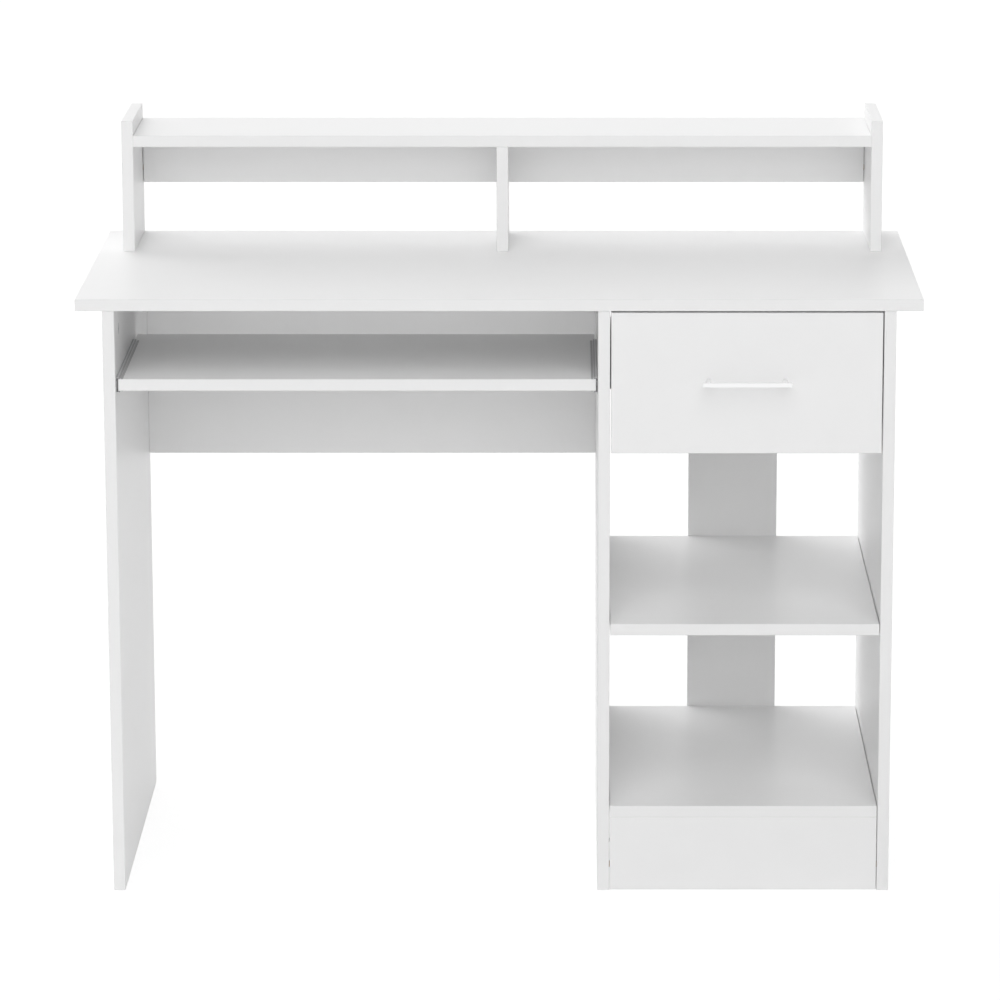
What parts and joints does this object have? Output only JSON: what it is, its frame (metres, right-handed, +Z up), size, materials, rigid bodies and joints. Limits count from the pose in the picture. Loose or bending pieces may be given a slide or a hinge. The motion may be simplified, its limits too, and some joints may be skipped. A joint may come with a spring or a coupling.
{
  "type": "computer desk",
  "caption": "White flat-pack computer desk: low hutch shelf on the top, sliding keyboard tray over an open knee bay, and a cabinet with a drawer above open shelves.",
  "frame": {"origin": "on the floor, in the middle of the outline of the whole desk seen from above, drawer handle included", "axes": "+X to the user's right along the desktop, +Y away from the user towards the wall, +Z up"},
  "size_m": [1.06, 0.526, 0.944],
  "materials": {
    "white_board": "white melamine-coated chipboard, fine matt texture, edge-banded",
    "hardboard": "white-faced thin hardboard",
    "beech": "plain fluted beech",
    "slide_steel": "grey coated sheet steel",
    "nylon": "natural nylon",
    "black_plastic": "black moulded plastic",
    "zinc_casting": "dull zinc casting",
    "zinc_steel": "bright zinc-plated steel",
    "handle_metal": "satin light metal"
  },
  "bodies": {
    "desk": {"desktop": "white_board", "left_side_panel": "white_board", "partition_panel": "white_board", "right_side_panel": "white_board", "modesty_panel": "white_board", "middle_shelf": "white_board", "bottom_shelf": "white_board", "plinth_board": "white_board", "back_strip": "white_board", "hutch_left_side": "white_board", "hutch_right_side": "white_board", "hutch_divider": "white_board", "hutch_shelf": "white_board", "hutch_back_rail": "white_board", "cam_locks": "zinc_casting", "cam_bolts": "zinc_steel", "wood_dowels": "beech", "assembly_screws": "zinc_steel", "tray_rail_left": "slide_steel", "tray_rail_right": "slide_steel", "tray_rail_glides": "black_plastic", "tray_rail_screws": "zinc_steel", "runner_left": "slide_steel", "runner_right": "slide_steel", "runner_rivets": "zinc_steel", "runner_screws": "zinc_steel"},
    "keyboard_tray": {"keyboard_tray": "white_board", "tray_channel_left": "slide_steel", "tray_channel_right": "slide_steel", "tray_channel_glides": "black_plastic", "tray_channel_screws": "zinc_steel"},
    "drawer": {"drawer_front": "white_board", "drawer_left_side": "white_board", "drawer_right_side": "white_board", "drawer_back": "white_board", "drawer_bottom": "hardboard", "drawer_cam_locks": "zinc_casting", "drawer_cam_bolts": "zinc_steel", "drawer_dowels": "beech", "drawer_screws": "zinc_steel", "drawer_bottom_nails": "zinc_steel", "handle_bar": "handle_metal", "handle_posts": "handle_metal", "handle_screws": "zinc_steel", "drawer_runner_left": "slide_steel", "drawer_runner_right": "slide_steel", "drawer_runner_rivets": "zinc_steel", "drawer_runner_screws": "zinc_steel"},
    "front_roller_left": {"runner_roller_left": "nylon"},
    "front_roller_right": {"runner_roller_right": "nylon"},
    "rear_roller_left": {"drawer_roller_left": "nylon"},
    "rear_roller_right": {"drawer_roller_right": "nylon"}
  },
  "joints": [
    {"name": "keyboard_tray_slide", "type": "slide", "parent": "desk", "child": "keyboard_tray", "axis": [0, -1, 0], "range_m": [0, 0.196]},
    {"name": "drawer_slide", "type": "slide", "parent": "desk", "child": "drawer", "axis": [0, -1, 0], "range_m": [0, 0.3]},
    {"name": "front_roller_left_spin", "type": "hinge", "parent": "desk", "child": "front_roller_left", "pos_m": [0.14375, -0.205, 0.66095], "axis": [1, 0, 0], "range_deg": [0, 2670]},
    {"name": "rear_roller_left_spin", "type": "hinge", "parent": "drawer", "child": "rear_roller_left", "pos_m": [0.14575, 0.168, 0.66095], "axis": [1, 0, 0], "range_deg": [0, 2670]},
    {"name": "front_roller_right_spin", "type": "hinge", "parent": "desk", "child": "front_roller_right", "pos_m": [0.47625, -0.205, 0.66095], "axis": [1, 0, 0], "range_deg": [0, 2670]},
    {"name": "rear_roller_right_spin", "type": "hinge", "parent": "drawer", "child": "rear_roller_right", "pos_m": [0.47425, 0.168, 0.66095], "axis": [1, 0, 0], "range_deg": [0, 2670]}
  ],
  "couplings": [
    {"joint": "front_roller_left_spin", "follows": "drawer_slide", "rad_per_m": 155.04},
    {"joint": "rear_roller_left_spin", "follows": "drawer_slide", "rad_per_m": 155.04},
    {"joint": "front_roller_right_spin", "follows": "drawer_slide", "rad_per_m": 155.04},
    {"joint": "rear_roller_right_spin", "follows": "drawer_slide", "rad_per_m": 155.04}
  ]
}
